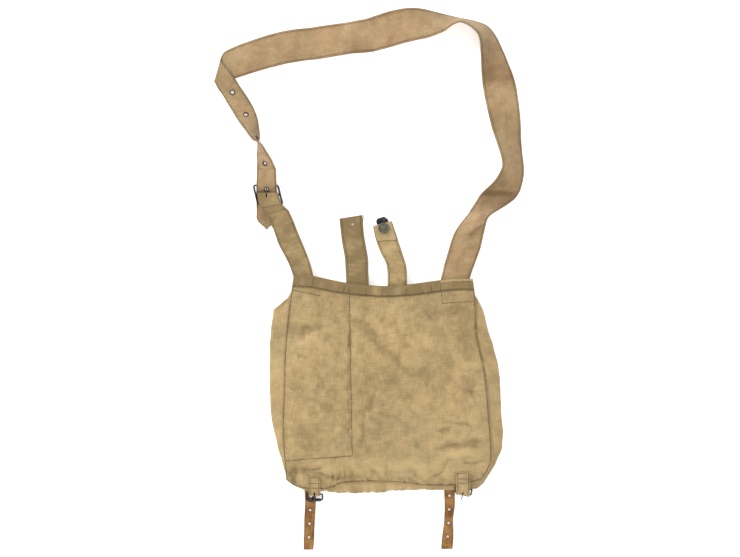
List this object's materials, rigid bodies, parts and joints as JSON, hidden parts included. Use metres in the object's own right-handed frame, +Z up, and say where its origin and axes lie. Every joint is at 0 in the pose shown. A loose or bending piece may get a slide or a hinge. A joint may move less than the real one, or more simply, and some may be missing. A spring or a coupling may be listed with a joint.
{
  "type": "canvas haversack",
  "caption": "Canvas haversack lying face down, with a flap over its mouth, a buckled shoulder strap, belt tabs and leather closing straps.",
  "frame": {"origin": "underside of the flap, below the middle of the bag", "axes": "+Z up from the surface the bag lies on, +Y from the bag's bottom to its mouth and strap, +X to the right of someone looking at its back"},
  "size_m": [0.4213, 0.7367, 0.0441],
  "materials": {
    "canvas": "matt",
    "webbing": "matt",
    "pale_canvas": "matt",
    "leather": "satin",
    "dark_steel": "satin",
    "dull_steel": "satin"
  },
  "bodies": {
    "bag": {"back_panel": "canvas", "front_panel": "canvas", "gusset": "canvas", "flap": "canvas", "top_hem": "canvas", "inner_pocket": "canvas", "shoulder_strap": "webbing", "shoulder_strap_end": "webbing", "buckle_strap": "webbing", "strap_buckle_frame": "dark_steel", "strap_buckle_tongue": "dull_steel", "strap_eyelet_1": "dull_steel", "strap_eyelet_2": "dull_steel", "strap_eyelet_3": "dull_steel", "strap_eyelet_4": "dull_steel", "strap_eyelet_5": "dull_steel", "belt_tab_left": "canvas", "belt_tab_right": "canvas", "belt_tab_patch": "pale_canvas", "tab_button": "dull_steel", "tab_hook": "dark_steel", "lower_tab_left": "canvas", "lower_tab_right": "canvas", "lower_buckle_left_frame": "dark_steel", "lower_buckle_right_frame": "dark_steel", "closing_strap_left": "leather", "closing_strap_right": "leather"},
    "left_tongue": {"lower_buckle_left_tongue": "dull_steel"},
    "right_tongue": {"lower_buckle_right_tongue": "dull_steel"}
  },
  "joints": [
    {"name": "left_tongue_hinge", "type": "hinge", "parent": "bag", "child": "left_tongue", "pos_m": [-0.09719, -0.14773, 0.00905], "axis": [-1, 0, 0], "range_deg": [0, 100]},
    {"name": "right_tongue_hinge", "type": "hinge", "parent": "bag", "child": "right_tongue", "pos_m": [0.10406, -0.14684, 0.01105], "axis": [-0.9801, 0.1987, 0], "range_deg": [-40, 110]}
  ]
}
